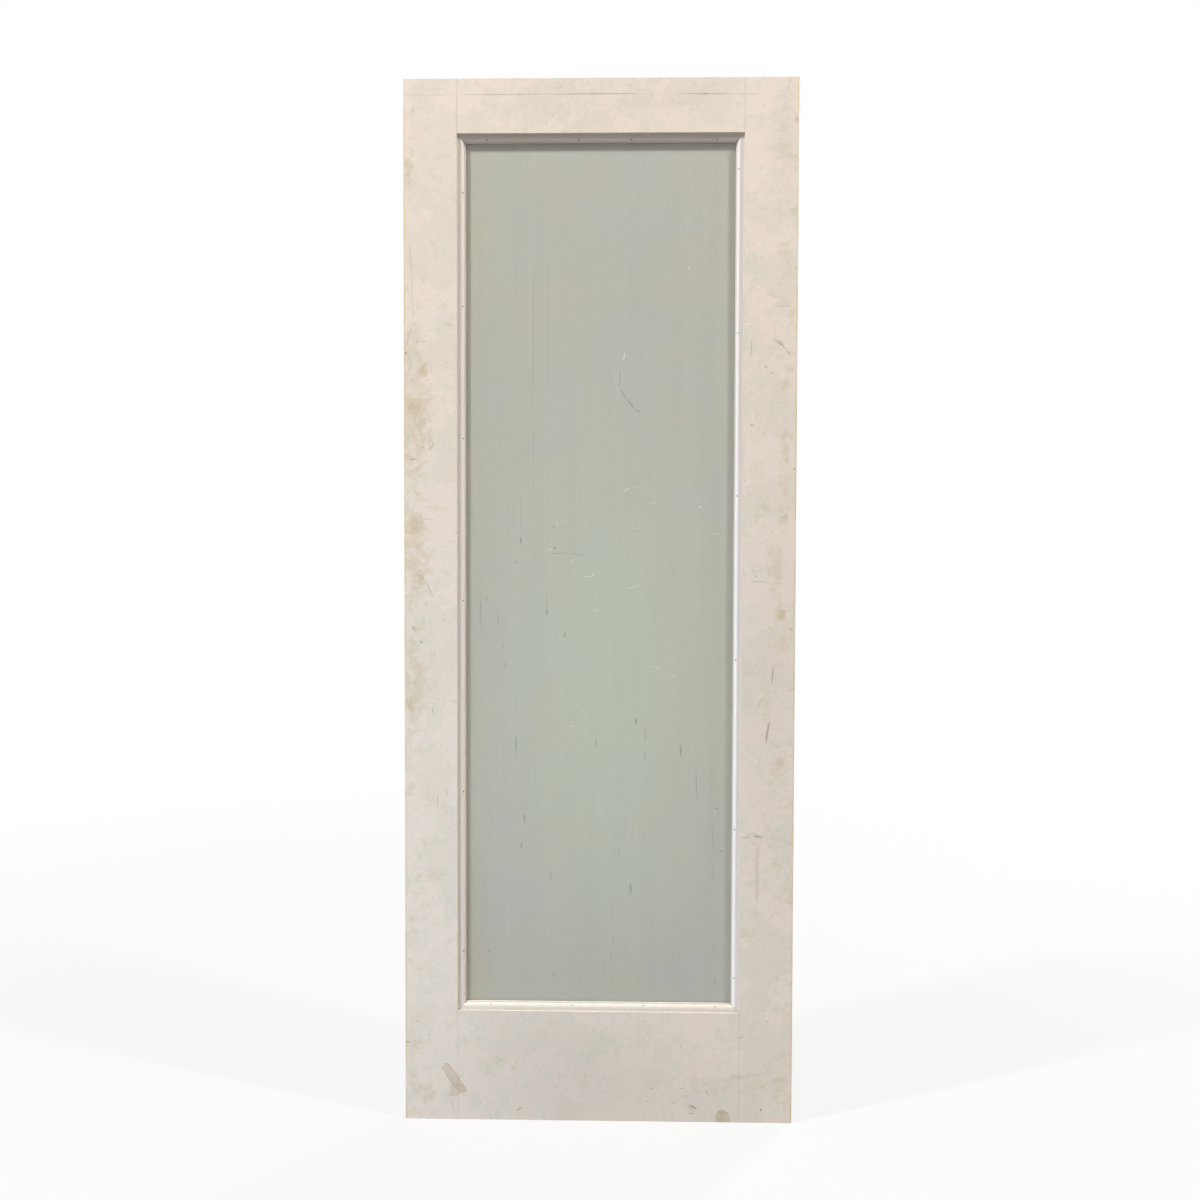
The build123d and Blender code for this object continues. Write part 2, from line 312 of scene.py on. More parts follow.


# Moulded MDF skin under factory-sprayed primer: off-white with a faint orange peel, uneven in tone where
# it was wiped and handled, with painted shade in broad areas where less light falls and painted warm
# light on the long outer corners, and brown fibre where the film is broken or missing
def primedMdf(piece, marks):
    look = primedMdfLook
    material, tree = startMaterial("primed MDF " + piece.replace("_", " "))
    point = placeOnDoor(tree)
    x, y, z = addNode(tree, "SeparateXYZ", {"Vector": point}).outputs
    fromMiddle = farFrom(tree, x, leafWidth / 2)
    fromEdge = addNode(tree, "Math", {0: leafWidth / 2, 1: fromMiddle}, operation="SUBTRACT")
    layers = []

    # Wiped areas with fairly firm edges, and softer patches inside them
    washes = addNode(tree, "TexNoise", {
        "Vector": wander(tree, point, 60, 25), "Scale": 1 / look["washSize"], "Detail": 2})
    patches = addNode(tree, "TexNoise", {
        "Vector": point, "Scale": 1 / look["patchSize"], "Detail": 5, "Roughness": 0.65})
    layers.append(("pinkPrimer", addNode(tree, "MapRange", {
        "Value": patches, "From Min": 0.42, "From Max": 0.62})))
    layers.append(("greyPrimer", addNode(tree, "MapRange", {
        "Value": washes, "From Min": 0.5, "From Max": 0.47, "To Max": 0.35})))
    layers.append(("greyPrimer", addNode(tree, "MapRange", {
        "Value": patches, "From Min": 0.5, "From Max": 0.28, "To Max": 0.6})))

    # Grime in ragged blotches, crowded where it was held and along the long edges, and
    # drawn out in short strokes by wiping
    soft = wander(tree, wander(tree, point, 22, 9), 4, 1.6)
    firm = wander(tree, point, 6, 0.8)
    held = markMask(tree, soft, marksOn(piece, marks["grime"]), 0.9)
    nearEdge = addNode(tree, "MapRange", {
        "Value": fromEdge, "From Max": look["edgeReach"], "To Min": look["edgeShare"], "To Max": 0},
        interpolation_type="SMOOTHSTEP")
    density = addNode(tree, "Math", {
        0: held, 1: look["heldShare"], 2: nearEdge}, operation="MULTIPLY_ADD")
    blotches = addNode(tree, "TexNoise", {
        "Vector": wander(tree, point, 40, 18), "Scale": 1 / look["grimeSize"],
        "Detail": 6, "Roughness": 0.65})
    density = addNode(tree, "Math", {0: density, 1: blotches}, operation="ADD")
    for stretch, share in look["strokes"]:
        strokes = addNode(tree, "TexNoise", {
            "Vector": addNode(tree, "VectorMath", {0: soft, 1: stretch}, operation="MULTIPLY"),
            "Scale": 1, "Detail": 3})
        density = addNode(tree, "Math", {0: strokes, 1: share, 2: density}, operation="MULTIPLY_ADD")
    layers.append(("grime", addNode(tree, "MapRange", {
        "Value": density, "From Min": 0.73, "From Max": 1.1, "To Max": 0.75})))

    # Dulled areas, partly painted shade where less light falls, rubs and splashes, scratches through the
    # film, and specks in about every other cell
    layers.append(("dullingAndShade", markMask(tree, point, marksOn(piece, marks["dullingAndShade"]), 1)))
    layers.append(("rub", markMask(tree, soft, marksOn(piece, marks["rubs"]), 0.7)))
    for corners, strength, rim in marks["splashes"]:
        middle = [sum(corner[i] for corner in corners) / len(corners) for i in (0, 1)]
        if marksOn(piece, [(*middle, 35, 60)]):
            layers.append(("splash", patchMask(tree, firm, corners, strength, rim)))
    scratches = markMask(tree, firm, marksOn(piece, marks["scratches"]), 0.35)
    layers.append(("scratch", scratches))
    cells = addNode(tree, "TexVoronoi", {"Vector": firm, "Scale": 1 / look["speckEvery"]})
    speckRadius = addNode(tree, "MapRange", {
        "Value": addNode(tree, "SeparateColor", {"Color": cells.outputs["Color"]}), "From Min": 0.5,
        "To Max": look["speckSize"] / look["speckEvery"]})
    specks = addNode(tree, "Math", {
        0: cells.outputs["Distance"], 1: speckRadius}, operation="LESS_THAN")
    layers.append(("scratch", addNode(tree, "Math", {
        0: specks, 1: look["speckShare"]}, operation="MULTIPLY")))

    # Dirt in the joints between stiles and rails
    fromJoint = farFrom(tree, fromMiddle, opening["right"] - leafWidth / 2)
    layers.append(("scratch", addNode(tree, "MapRange", {
        "Value": fromJoint, "From Min": 0.9, "From Max": 0.3, "To Max": look["jointDirt"]})))

    # Painted warm light tints the long outer corners, where the rounding catches it, in patches; the
    # film is nicked through in places, and there is bare fibre with overspray at the sawn ends
    thin = addNode(tree, "TexNoise", {"Vector": point, "Scale": 1 / look["warmLitCornerSize"], "Detail": 5})
    thin = addNode(tree, "MapRange", {
        "Value": thin, "From Min": 0.3, "From Max": 0.6, "To Max": 0.9})
    onCorner = addNode(tree, "MapRange", {"Value": fromEdge, "From Min": 4.4, "From Max": 1.8})
    layers.append(("warmLitCorner", addNode(tree, "Math", {0: thin, 1: onCorner}, operation="MULTIPLY")))
    nicks = addNode(tree, "TexNoise", {
        "Vector": point, "Scale": 1 / look["nickSize"], "Detail": 4, "Roughness": 0.65})
    atCorner = addNode(tree, "MapRange", {"Value": fromEdge, "From Min": 2.2, "From Max": 0.2})
    layers.append(("rawFibre", addNode(tree, "MapRange", {
        "Value": addNode(tree, "Math", {0: nicks, 1: atCorner}, operation="MULTIPLY"),
        "From Min": 0.58, "From Max": 0.66, "To Max": 0.7})))
    overspray = addNode(tree, "TexNoise", {
        "Vector": point, "Scale": 1 / look["overspraySize"], "Detail": 5, "Roughness": 0.7})
    bare = addNode(tree, "MapRange", {"Value": overspray, "From Min": 0.56, "From Max": 0.44})
    layers.append(("rawFibre", addNode(tree, "Math", {
        0: sawnEnd(tree, z), 1: bare}, operation="MULTIPLY")))

    colour = linear(look["primer"])
    for name, share in layers:
        colour = addNode(tree, "Mix", {0: share, 1: colour, 2: linear(look[name])}, data_type="RGBA")
    film = addNode(tree, "TexNoise", {
        "Vector": point, "Scale": 1 / look["filmSize"], "Detail": 6, "Roughness": 0.8})
    filmTone = addNode(tree, "MapRange", {
        "Value": film, "From Min": 0.3, "From Max": 0.7,
        "To Min": 1 - look["filmTone"], "To Max": 1 + look["filmTone"] * 0.7})
    colour = addNode(tree, "VectorMath", {0: colour, "Scale": filmTone}, operation="SCALE")
    colour = dustOnTop(tree, point, colour)

    roughness = addNode(tree, "MapRange", {
        "Value": patches, "From Min": 0.3, "From Max": 0.7,
        "To Min": look["roughness"] - 0.05, "To Max": look["roughness"] + 0.06})
    peel = addNode(tree, "TexNoise", {"Vector": point, "Scale": 1 / look["peelSize"], "Detail": 2})
    peelBump = addNode(tree, "Bump", {
        "Height": peel, "Distance": look["peelDepth"] / 1000, "Strength": 1.0})
    dents = addNode(tree, "Bump", {
        "Height": scratches, "Distance": look["scratchDepth"] / 1000, "Normal": peelBump}, invert=True)
    shader = addNode(tree, "BsdfPrincipled", {
        "Base Color": colour, "Roughness": roughness, "IOR": 1.5, "Normal": dents})
    return finishMaterial(material, shader)


primedPineLook = {
    # one primer, painted lighter on the uprights and darker on the level stops: painted light, since
    # more light falls on the uprights from the sides
    "primer": {"upright": "#F8F2EF", "level": "#EDE6DE"},
    "dust": "#C9BFB0", "dustSize": 12, "onLip": 0.6, "settled": 0.42,
    "cornerDustAndShade": {"upright": 0.12, "level": 0.35},
    "grainTone": 0.03, "grainWidth": 0.9, "grainLength": 90,
    "roughness": 0.38, "grainDepth": 0.03,
}


# Softwood moulding, planed to an ovolo and primed: whiter and a little glossier than the skins, the
# uprights painted lighter and the level stops darker as painted light from the sides, with the grain
# just raised under the film, dust along its lip and wherever it faces up, and dust with painted shade in
# the corner against the opening
def primedPine(direction):
    look = primedPineLook
    material, tree = startMaterial("primed pine moulding " + direction)
    point = placeOnDoor(tree)
    width, length = 1 / look["grainWidth"], 1 / look["grainLength"]
    alongDoor = (width, width, length) if direction == "upright" else (length, width, width)
    stretched = addNode(tree, "VectorMath", {0: point, 1: alongDoor}, operation="MULTIPLY")
    grain = addNode(tree, "TexNoise", {"Vector": stretched, "Scale": 1, "Detail": 3})
    tone = addNode(tree, "MapRange", {
        "Value": grain, "From Min": 0.3, "From Max": 0.7, "To Min": 1 - look["grainTone"], "To Max": 1})
    # Lighter on the uprights and darker on the level stops: painted light from the sides
    primer = linear(look["primer"][direction])[:3]
    colour = addNode(tree, "VectorMath", {0: primer, "Scale": tone}, operation="SCALE")
    x, y, z = addNode(tree, "SeparateXYZ", {"Vector": point}).outputs
    onLip = addNode(tree, "MapRange", {
        "Value": farFrom(tree, y, 0), "From Min": 7.5, "From Max": 4, "To Max": look["onLip"]})
    across, ends = (x, ("left", "right")) if direction == "upright" else (z, ("bottom", "top"))
    first, last = [opening[end] for end in ends]
    fromReveal = addNode(tree, "Math", {
        0: (last - first) / 2, 1: farFrom(tree, across, (first + last) / 2)}, operation="SUBTRACT")
    # Dust with painted shade on the flat in the corner against the opening, strongest on the level stops
    corner = addNode(tree, "MapRange", {
        "Value": fromReveal, "From Min": 5.5, "From Max": 3,
        "To Max": look["cornerDustAndShade"][direction] * 2})
    settled = addNode(tree, "MapRange", {
        "Value": facingUp(tree), "From Min": 0.1, "From Max": 0.7, "To Max": look["settled"] * 2})
    dust = 0.0
    for share in (onLip, corner, settled):
        dust = addNode(tree, "Math", {0: dust, 1: share}, operation="MAXIMUM")
    patches = addNode(tree, "TexNoise", {"Vector": point, "Scale": 1 / look["dustSize"], "Detail": 4})
    dust = addNode(tree, "Math", {0: dust, 1: patches}, operation="MULTIPLY")
    colour = addNode(tree, "Mix", {0: dust, 1: colour, 2: linear(look["dust"])}, data_type="RGBA")
    bump = addNode(tree, "Bump", {
        "Height": grain, "Distance": look["grainDepth"] / 1000, "Strength": 1.0})
    shader = addNode(tree, "BsdfPrincipled", {
        "Base Color": colour, "Roughness": look["roughness"], "IOR": 1.5, "Normal": bump})
    return finishMaterial(material, shader)


rawPineLook = {
    "earlyWood": "#B99A70", "lateWood": "#8D6843", "ring": 2.6, "stave": 28, "raisedRing": 0.05,
    "pith": (-30, -120, 0), "pithSpread": (60, 90, 0), "figure": (125, 10 / 3), "figureRise": 30,
    "primer": "#E6DCD0", "oversprayReach": 5, "overspraySize": 11, "roughness": 0.7,
}


# Finger-jointed pine core, sawn: honey-coloured with darker late wood where it is bare, end
# grain on the uprights and side grain on the rails, and primer wherever the spray reached
def rawPine(piece):
    look = rawPineLook
    material, tree = startMaterial("sawn pine " + piece.replace("_", " "))
    point = placeOnDoor(tree)
    x, y, z = addNode(tree, "SeparateXYZ", {"Vector": point}).outputs
    stave = addNode(tree, "Math", {0: x, 1: look["stave"]}, operation="DIVIDE")
    stave = addNode(tree, "Math", {0: stave}, operation="FLOOR")
    chance = addNode(tree, "TexWhiteNoise", {"W": stave}, noise_dimensions="1D")
    if "stile" in piece:
        # Rings about a pith that lies off the side of each stave
        pith = addNode(tree, "VectorMath", {
            0: chance.outputs["Color"], 1: look["pithSpread"], 2: look["pith"]},
            operation="MULTIPLY_ADD")
        inStave = addNode(tree, "CombineXYZ", {
            "X": addNode(tree, "Math", {0: x, 1: look["stave"]}, operation="WRAP"), "Y": y})
        reach = addNode(tree, "VectorMath", {0: inStave, 1: pith}, operation="DISTANCE").outputs["Value"]
    else:
        # Rings drawn out along the rail
        long, wide = look["figure"]
        slow = addNode(tree, "VectorMath", {
            0: point, 1: (1 / long, 1 / wide, 1 / wide)}, operation="MULTIPLY")
        grain = addNode(tree, "TexNoise", {"Vector": slow, "Scale": 1, "Detail": 3})
        reach = addNode(tree, "Math", {0: grain, 1: look["figureRise"]}, operation="MULTIPLY")
    rings = addNode(tree, "Math", {0: reach, 1: look["ring"]}, operation="DIVIDE")
    growth = addNode(tree, "Math", {0: rings}, operation="FRACT")
    lateWood = addNode(tree, "MapRange", {"Value": growth, "From Min": 0.35, "From Max": 0.95},
                       interpolation_type="SMOOTHSTEP")
    wood = addNode(tree, "Mix", {
        0: lateWood, 1: linear(look["earlyWood"]), 2: linear(look["lateWood"])}, data_type="RGBA")
    staveTone = addNode(tree, "MapRange", {"Value": chance, "To Min": 0.85, "To Max": 1.08})
    wood = addNode(tree, "VectorMath", {0: wood, "Scale": staveTone}, operation="SCALE")

    spray = addNode(tree, "TexNoise", {
        "Vector": point, "Scale": 1 / look["overspraySize"], "Detail": 5, "Roughness": 0.7})
    nearSkins = addNode(tree, "MapRange", {
        "Value": farFrom(tree, y, 0), "From Min": skinSeat - look["oversprayReach"],
        "From Max": skinSeat, "To Max": 0.35})
    spray = addNode(tree, "Math", {0: spray, 1: nearSkins}, operation="ADD")
    unsprayed = addNode(tree, "MapRange", {
        "Value": spray, "From Min": 0.55, "From Max": 0.78, "To Min": 1, "To Max": 0})
    bare = addNode(tree, "Math", {0: sawnEnd(tree, z), 1: unsprayed}, operation="MULTIPLY")
    colour = addNode(tree, "Mix", {0: bare, 1: linear(look["primer"]), 2: wood}, data_type="RGBA")
    colour = dustOnTop(tree, point, colour)
    bump = addNode(tree, "Bump", {
        "Height": lateWood, "Distance": look["raisedRing"] / 1000, "Strength": 0.6})
    shader = addNode(tree, "BsdfPrincipled", {
        "Base Color": colour, "Roughness": look["roughness"], "IOR": 1.5, "Normal": bump})
    return finishMaterial(material, shader)


lippingLook = {
    "primer": "#E8DDD0", "greyPrimer": "#D8D2C4", "grainWidth": 1.4, "grainLength": 160,
    "grime": "#B9B39D", "smearSize": 38, "heldAt": 1150, "grainDepth": 0.04, "roughness": 0.5,
}


# Pine lipping glued down each long edge, planed square and primed with the leaf: the grain
# runs up it under the film, and grime gathers at the height where the leaf is carried
def primedLipping(piece):
    look = lippingLook
    material, tree = startMaterial("primed pine lipping " + piece.split("_")[0])
    point = placeOnDoor(tree)
    y, z = addNode(tree, "SeparateXYZ", {"Vector": point}).outputs[1:3]
    width, length = 1 / look["grainWidth"], 1 / look["grainLength"]
    stretched = addNode(tree, "VectorMath", {0: point, 1: (width, width, length)}, operation="MULTIPLY")
    grain = addNode(tree, "TexNoise", {"Vector": stretched, "Scale": 1, "Detail": 4})
    colour = addNode(tree, "Mix", {
        0: addNode(tree, "MapRange", {"Value": grain, "From Min": 0.45, "From Max": 0.75}),
        1: linear(look["primer"]), 2: linear(look["greyPrimer"])}, data_type="RGBA")
    smears = addNode(tree, "TexNoise", {
        "Vector": wander(tree, point, 20, 8), "Scale": 1 / look["smearSize"], "Detail": 4})
    smears = addNode(tree, "MapRange", {"Value": smears, "From Min": 0.52, "From Max": 0.68})
    held = addNode(tree, "MapRange", {
        "Value": farFrom(tree, z, look["heldAt"]), "From Min": 200, "From Max": 700,
        "To Min": 0.55, "To Max": 0.15})
    grime = addNode(tree, "Math", {0: smears, 1: held}, operation="MULTIPLY")
    colour = addNode(tree, "Mix", {0: grime, 1: colour, 2: linear(look["grime"])}, data_type="RGBA")
    colour = dustOnTop(tree, point, colour)
    bump = addNode(tree, "Bump", {
        "Height": grain, "Distance": look["grainDepth"] / 1000, "Strength": 1.0})
    shader = addNode(tree, "BsdfPrincipled", {
        "Base Color": colour, "Roughness": look["roughness"], "IOR": 1.5, "Normal": bump})
    return finishMaterial(material, shader)


glassLook = {
    "green": "#CCCCC0", "blue": "#C9CBC4", "patchSize": 170,
    # a paler, greener patch over the lower middle of the pane is painted light, standing for light that
    # comes through from behind, with the pane's greener tone there
    "milkyPaintedLight": "#D3DDCB", "paintedLightPatch": (410, 900, 370, 860, 0, 0.6),
    # where the warm tone begins and is full at each side, with its share there, and its patch
    "warm": "#C6C2AF", "warmLeft": (190, 125, 0.3), "warmRight": (560, 640, 0.2),
    "warmFoot": (110, 340, 80, 420, 0, 1),
    # along the lips of the stops the grime colour also paints the shade that the stops throw on the pane
    "grime": "#9A978A", "lipShadeAndGrimeReach": 13, "lipShadeAndGrimeShare": 0.22, "footGrime": (381, 220, 450, 330, 0, 0.1),
    "bandWidth": 34, "bandLength": 900, "streakWidth": 5, "streakLength": 260, "mottleSize": 12,
    "roughness": 0.42, "transmission": 0.32, "etchSize": 1.5, "etchDepth": 0.01,
    "scuff": "#EDEEE4", "run": "#6C705E",
    # marks, in the form that markMask reads
    "scuffs": [
        lineMark(429.5, 1512, 426, 1493, 1.7, 0.95), lineMark(427, 1240, 438, 1248.5, 1.8, 0.8),
        lineMark(447, 1249, 459, 1249.5, 1.1, 0.65), lineMark(476, 1218, 494, 1219, 1.2, 0.65),
        lineMark(522, 1257, 560, 1256, 1, 0.2), lineMark(556, 1250, 562, 1256, 1.3, 0.3),
        (577, 1211, 3.2, 3.2, 0, 0.85), lineMark(438, 1169, 458, 1168, 1, 0.5),
        lineMark(602, 1160, 612, 1157, 1.5, 0.5), (298, 1177, 3, 2.5, 0, 0.4), (312, 1184, 4, 2, 0, 0.3),
        lineMark(278, 1126, 288, 1129, 2, 0.65), lineMark(298, 1128, 328, 1121, 1, 0.4),
        (327, 1104, 3, 6, 0, 0.5), (212, 1096, 4, 2, 0, 0.3), (223, 1103, 3, 2, 0, 0.3),
        lineMark(353, 1075, 365, 1074.5, 1.7, 0.8), lineMark(363, 1074, 371, 1080, 1.6, 0.9),
        (267, 1055, 3, 5, 0, 0.35), lineMark(436, 1051.5, 447, 1053, 1.5, 0.8),
        lineMark(446, 1053, 454, 1058, 1.4, 0.8), lineMark(335, 1039, 349, 1039, 1.1, 0.3),
        lineMark(367, 1007, 381, 1010, 1.3, 0.75), lineMark(484, 902, 503, 891, 1.6, 0.8),
        (527, 881, 6, 3.5, -35, 0.4), (351, 793, 4, 3.5, 0, 0.5), lineMark(321, 780, 333, 780, 1.5, 0.7),
        (609, 614, 3, 3, 0, 0.5), lineMark(532, 614, 600, 617, 1.2, 0.15),
        (552, 1674, 2.6, 2.6, 0, 0.9), (564, 1641, 3.5, 2.5, 0, 0.5),
    ],
    "runs": [
        lineMark(420, 1484, 419.5, 1438, 1.6, 0.32), lineMark(419.5, 1441, 434, 1419, 2, 0.42),
        lineMark(431, 1423, 450, 1400, 2.2, 0.5), lineMark(448, 1400, 461, 1394.5, 1.8, 0.45),
        lineMark(251, 1729, 251, 1370, 0.9, 0.3), lineMark(251, 1400, 252, 1260, 0.9, 0.24),
        lineMark(252, 1260, 252, 1241, 1.1, 0.4), lineMark(279, 1729, 279.5, 1390, 0.9, 0.3),
        lineMark(226.5, 1245, 226.5, 1155, 0.8, 0.3), lineMark(226.5, 1153, 226.5, 1136, 1.4, 0.7),
        (217, 1102, 2, 3.5, 0, 0.4), (292, 1172, 1.8, 5, 0, 0.35), (293, 1130, 4, 2.5, 0, 0.5),
        lineMark(275, 1120, 330, 1120, 0.9, 0.35), lineMark(325, 1121, 351, 1115, 1.3, 0.35),
        lineMark(438, 1164, 458, 1163, 0.9, 0.25), lineMark(517, 1108, 523, 1088, 2.5, 0.12),
        lineMark(522, 1088, 529, 1070, 3, 0.12), lineMark(148, 1040, 148.5, 968, 1, 0.65),
        lineMark(159, 1036, 159, 1023, 1.4, 0.4), lineMark(182, 1000, 182, 981, 1.9, 0.3),
        lineMark(192, 946, 192, 930, 1.7, 0.3), lineMark(196, 908, 196, 893, 1.5, 0.4),
        lineMark(278, 1046, 278, 1014, 0.9, 0.3), lineMark(278, 1013, 278, 996, 1.5, 0.6),
        lineMark(313.5, 967, 313.5, 953, 1.7, 0.55), lineMark(217, 850, 217, 768, 0.8, 0.15),
        lineMark(217.5, 767, 217.5, 720, 1.5, 0.6), lineMark(375.5, 759, 375.5, 736, 1.6, 0.5),
        lineMark(453, 796, 453, 785, 2, 0.7), (338, 810, 2, 4, 0, 0.25),
        lineMark(471.5, 780, 471.5, 745, 1, 0.5), lineMark(471.5, 735, 471.5, 711, 1.4, 0.5),
        lineMark(541.5, 748, 541.5, 720, 1.9, 0.55), lineMark(572, 712, 573.5, 623, 1.2, 0.42),
        lineMark(234, 607, 234, 588, 2, 0.55), lineMark(228, 553, 228, 534, 1.9, 0.5),
        lineMark(286.5, 497, 286.5, 470, 1.6, 0.42), lineMark(444, 472, 444.5, 446, 2.1, 0.6),
        (612.5, 620, 2, 2, 0, 0.7), (622, 535, 2, 2.5, 0, 0.6), lineMark(603, 730, 603, 630, 0.8, 0.25),
        lineMark(604, 600, 607, 520, 1, 0.35), lineMark(606, 510, 606, 465, 0.9, 0.25),
        lineMark(609, 370, 610, 300, 0.9, 0.25), lineMark(611, 286, 611, 264, 1.5, 0.45),
        lineMark(412, 600, 412, 495, 0.7, 0.25), lineMark(420, 592, 420, 490, 0.7, 0.2),
        lineMark(427, 606, 427, 546, 0.7, 0.25), lineMark(434, 620, 434, 550, 0.7, 0.2),
        lineMark(409, 440, 409, 390, 0.8, 0.22), lineMark(408, 366, 412, 345, 1, 0.35),
        lineMark(404, 345, 408, 302, 0.8, 0.3), lineMark(406, 300, 411, 252, 1, 0.35),
        lineMark(391, 350, 391, 275, 0.7, 0.2), lineMark(425, 368, 425, 300, 0.7, 0.2),
        lineMark(432, 365, 432, 308, 0.7, 0.2), lineMark(439, 368, 439, 322, 0.7, 0.2),
        (293.5, 286, 2.4, 4, 0, 0.45), (164, 331, 3, 2.5, 0, 0.35), (246.5, 271, 4, 3, 0, 0.2),
    ],
}


# Float glass etched with acid to a satin: the light comes back soft and grey-green with no
# clear view through it, in clouds and faint upright bands, with a few pale scuffs and runs
def satinGlass():
    look = glassLook
    material, tree = startMaterial("satin-etched float glass")
    point = placeOnDoor(tree)
    clouds = addNode(tree, "TexNoise", {"Vector": point, "Scale": 1 / look["patchSize"], "Detail": 3})
    colour = addNode(tree, "Mix", {
        0: addNode(tree, "MapRange", {"Value": clouds, "From Min": 0.4, "From Max": 0.62}),
        1: linear(look["green"]), 2: linear(look["blue"])}, data_type="RGBA")
    # Painted light: the lower middle of the pane is paler and greener, as if lit through from behind
    milkyLight = markMask(tree, point, [look["paintedLightPatch"]], 1)
    colour = addNode(tree, "Mix", {0: milkyLight, 1: colour, 2: linear(look["milkyPaintedLight"])}, data_type="RGBA")
    x, y, z = addNode(tree, "SeparateXYZ", {"Vector": point}).outputs
    warm = markMask(tree, point, [look["warmFoot"]], 1)
    for begins, full, share in (look["warmLeft"], look["warmRight"]):
        side = addNode(tree, "MapRange", {
            "Value": x, "From Min": begins, "From Max": full, "To Max": share},
            interpolation_type="SMOOTHSTEP")
        warm = addNode(tree, "Math", {0: warm, 1: side}, operation="MAXIMUM")
    colour = addNode(tree, "Mix", {0: warm, 1: colour, 2: linear(look["warm"])}, data_type="RGBA")

    # Grime where a cloth doesn't reach along the lips of the stops, which also paints the shade that the
    # stops throw on the pane there, and grime over the foot of the pane
    fromLip = 1000.0            # farther than any place on the pane
    for place, low, high in ((x, "left", "right"), (z, "bottom", "top")):
        middle = (opening[low] + opening[high]) / 2
        reach = (opening[high] - opening[low]) / 2 - stopWidth
        away = farFrom(tree, place, middle)
        inwards = addNode(tree, "Math", {0: reach, 1: away}, operation="SUBTRACT")
        fromLip = addNode(tree, "Math", {0: fromLip, 1: inwards}, operation="MINIMUM")
    rim = addNode(tree, "MapRange", {
        "Value": fromLip, "From Min": look["lipShadeAndGrimeReach"], "From Max": 0, "To Max": look["lipShadeAndGrimeShare"]})
    foot = markMask(tree, point, [look["footGrime"]], 1)
    lipShadeAndGrime = addNode(tree, "Math", {0: rim, 1: foot}, operation="MAXIMUM")
    colour = addNode(tree, "Mix", {0: lipShadeAndGrime, 1: colour, 2: linear(look["grime"])}, data_type="RGBA")

    # The etch follows the way the pane hung in the bath, so its unevenness runs upright
    wide = addNode(tree, "VectorMath", {
        0: point, 1: (1 / look["bandWidth"], 0, 1 / look["bandLength"])}, operation="MULTIPLY")
    bands = addNode(tree, "TexNoise", {"Vector": wide, "Scale": 1, "Detail": 3})
    narrow = addNode(tree, "VectorMath", {
        0: point, 1: (1 / look["streakWidth"], 0, 1 / look["streakLength"])}, operation="MULTIPLY")
    streaks = addNode(tree, "TexNoise", {"Vector": narrow, "Scale": 1, "Detail": 4, "Roughness": 0.6})
    uneven = addNode(tree, "Math", {0: bands, 1: streaks}, operation="ADD")
    mottle = addNode(tree, "TexNoise", {
        "Vector": point, "Scale": 1 / look["mottleSize"], "Detail": 4, "Roughness": 0.75})
    for pattern, low, high, change in ((uneven, 0.7, 1.3, 0.025), (mottle, 0.3, 0.7, 0.02)):
        tone = addNode(tree, "MapRange", {
            "Value": pattern, "From Min": low, "From Max": high,
            "To Min": 1 - change, "To Max": 1 + change})
        colour = addNode(tree, "VectorMath", {0: colour, "Scale": tone}, operation="SCALE")

    loose = wander(tree, point, 5, 0.9)
    scuffs = markMask(tree, loose, look["scuffs"], 0.4)
    runs = markMask(tree, loose, look["runs"], 0.6)
    colour = addNode(tree, "Mix", {0: scuffs, 1: colour, 2: linear(look["scuff"])}, data_type="RGBA")
    colour = addNode(tree, "Mix", {0: runs, 1: colour, 2: linear(look["run"])}, data_type="RGBA")

    # The etch's own grain is a few hundredths of a millimetre, drawn coarser so that it shows
    etch = addNode(tree, "TexNoise", {"Vector": point, "Scale": 1 / look["etchSize"], "Detail": 2})
    bump = addNode(tree, "Bump", {
        "Height": etch, "Distance": look["etchDepth"] / 1000, "Strength": 1.0})
    roughness = addNode(tree, "MapRange", {
        "Value": clouds, "From Min": 0.3, "From Max": 0.7,
        "To Min": look["roughness"] - 0.04, "To Max": look["roughness"] + 0.05})
    shader = addNode(tree, "BsdfPrincipled", {
        "Base Color": colour, "Roughness": roughness, "IOR": 1.52,
        "Transmission Weight": look["transmission"], "Normal": bump})
    return finishMaterial(material, shader)


tapeLook = {
    "foam": "#4A4843", "dust": "#7B766B", "dustSize": 15, "cell": 1.2, "cellDepth": 0.1,
    "roughness": 0.85,
}


# Closed-cell foam glazing tape: dull dark grey with fine open cells at its cut edge
def foamTape():
    look = tapeLook
    material, tree = startMaterial("closed-cell foam tape")
    point = placeOnDoor(tree)
    cells = addNode(tree, "TexVoronoi", {"Vector": point, "Scale": 1 / look["cell"]})
    dusty = addNode(tree, "TexNoise", {"Vector": point, "Scale": 1 / look["dustSize"], "Detail": 3})
    colour = addNode(tree, "Mix", {
        0: addNode(tree, "MapRange", {"Value": dusty, "From Min": 0.45, "From Max": 0.75}),
        1: linear(look["foam"]), 2: linear(look["dust"])}, data_type="RGBA")
    bump = addNode(tree, "Bump", {
        "Height": cells, "Distance": look["cellDepth"] / 1000, "Strength": 0.7})
    shader = addNode(tree, "BsdfPrincipled", {
        "Base Color": colour, "Roughness": look["roughness"], "IOR": 1.45, "Normal": bump})
    return finishMaterial(material, shader)


